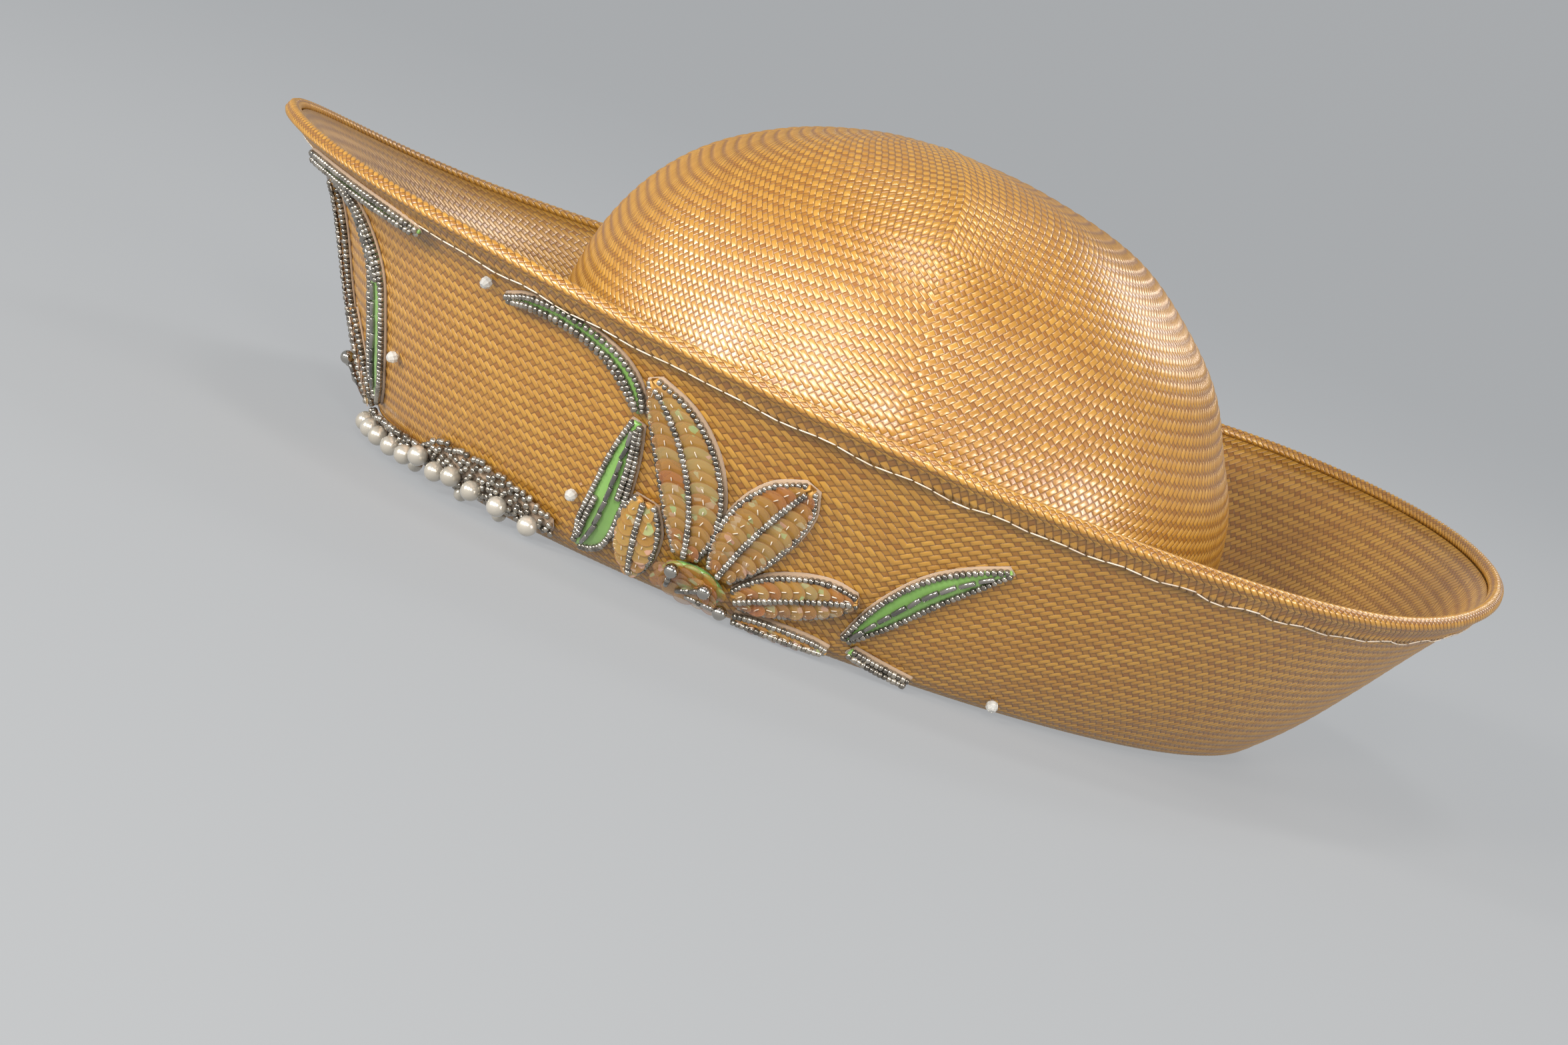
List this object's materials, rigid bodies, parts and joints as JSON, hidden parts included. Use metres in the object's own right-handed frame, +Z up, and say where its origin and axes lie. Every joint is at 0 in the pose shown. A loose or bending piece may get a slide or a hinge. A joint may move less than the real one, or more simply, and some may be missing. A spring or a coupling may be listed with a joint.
{
  "type": "straw hat",
  "caption": "Woven straw hat with a domed crown, a brim turned up all round, a rolled edge and a beaded lily and pearl trim at the left front.",
  "frame": {"origin": "on the surface the hat stands on, in the middle of the rim's length and width", "axes": "+Z up; the front of the hat faces -Y; the wearer's left is +X"},
  "size_m": [0.3367, 0.3711, 0.1325],
  "materials": {
    "straw": "woven straw with a satin sheen",
    "sequin": "translucent amber sequins",
    "satin": "green satin",
    "silver_bead": "silver-lined glass beads",
    "pearl": "pearl lustre",
    "crystal": "clear faceted bead"
  },
  "bodies": {
    "root": {"brim": "straw", "crown": "straw", "front_lily_leaf_back": "satin", "front_lily_leaf_foot": "satin", "front_lily_leaf_top": "satin", "front_lily_petal_back": "sequin", "front_lily_petal_low": "sequin", "front_lily_petal_near": "sequin", "front_lily_petal_side": "sequin", "front_lily_petal_tall": "sequin", "front_lily_stamen_1": "silver_bead", "front_lily_stamen_2": "silver_bead", "front_lily_stamen_3": "silver_bead", "front_lily_stem": "satin", "front_lily_throat": "satin", "pearl_1": "pearl", "pearl_10": "pearl", "pearl_11": "pearl", "pearl_2": "pearl", "pearl_3": "pearl", "pearl_4": "pearl", "pearl_5": "pearl", "pearl_6": "pearl", "pearl_7": "pearl", "pearl_8": "pearl", "pearl_9": "pearl", "pearl_band": "silver_bead", "rim_roll": "straw", "side_lily_leaf_back": "satin", "side_lily_leaf_foot": "satin", "side_lily_leaf_top": "satin", "side_lily_petal_back": "sequin", "side_lily_petal_low": "sequin", "side_lily_petal_near": "sequin", "side_lily_petal_side": "sequin", "side_lily_petal_tall": "sequin", "side_lily_stamen_1": "silver_bead", "side_lily_stamen_2": "silver_bead", "side_lily_stamen_3": "silver_bead", "side_lily_stem": "satin", "side_lily_throat": "satin", "small_pearl_1": "pearl", "small_pearl_2": "pearl", "small_pearl_3": "pearl", "small_pearl_4": "pearl", "spot_bead_1": "crystal", "spot_bead_2": "crystal", "spot_bead_3": "crystal", "spot_bead_4": "crystal"}
  },
  "joints": []
}
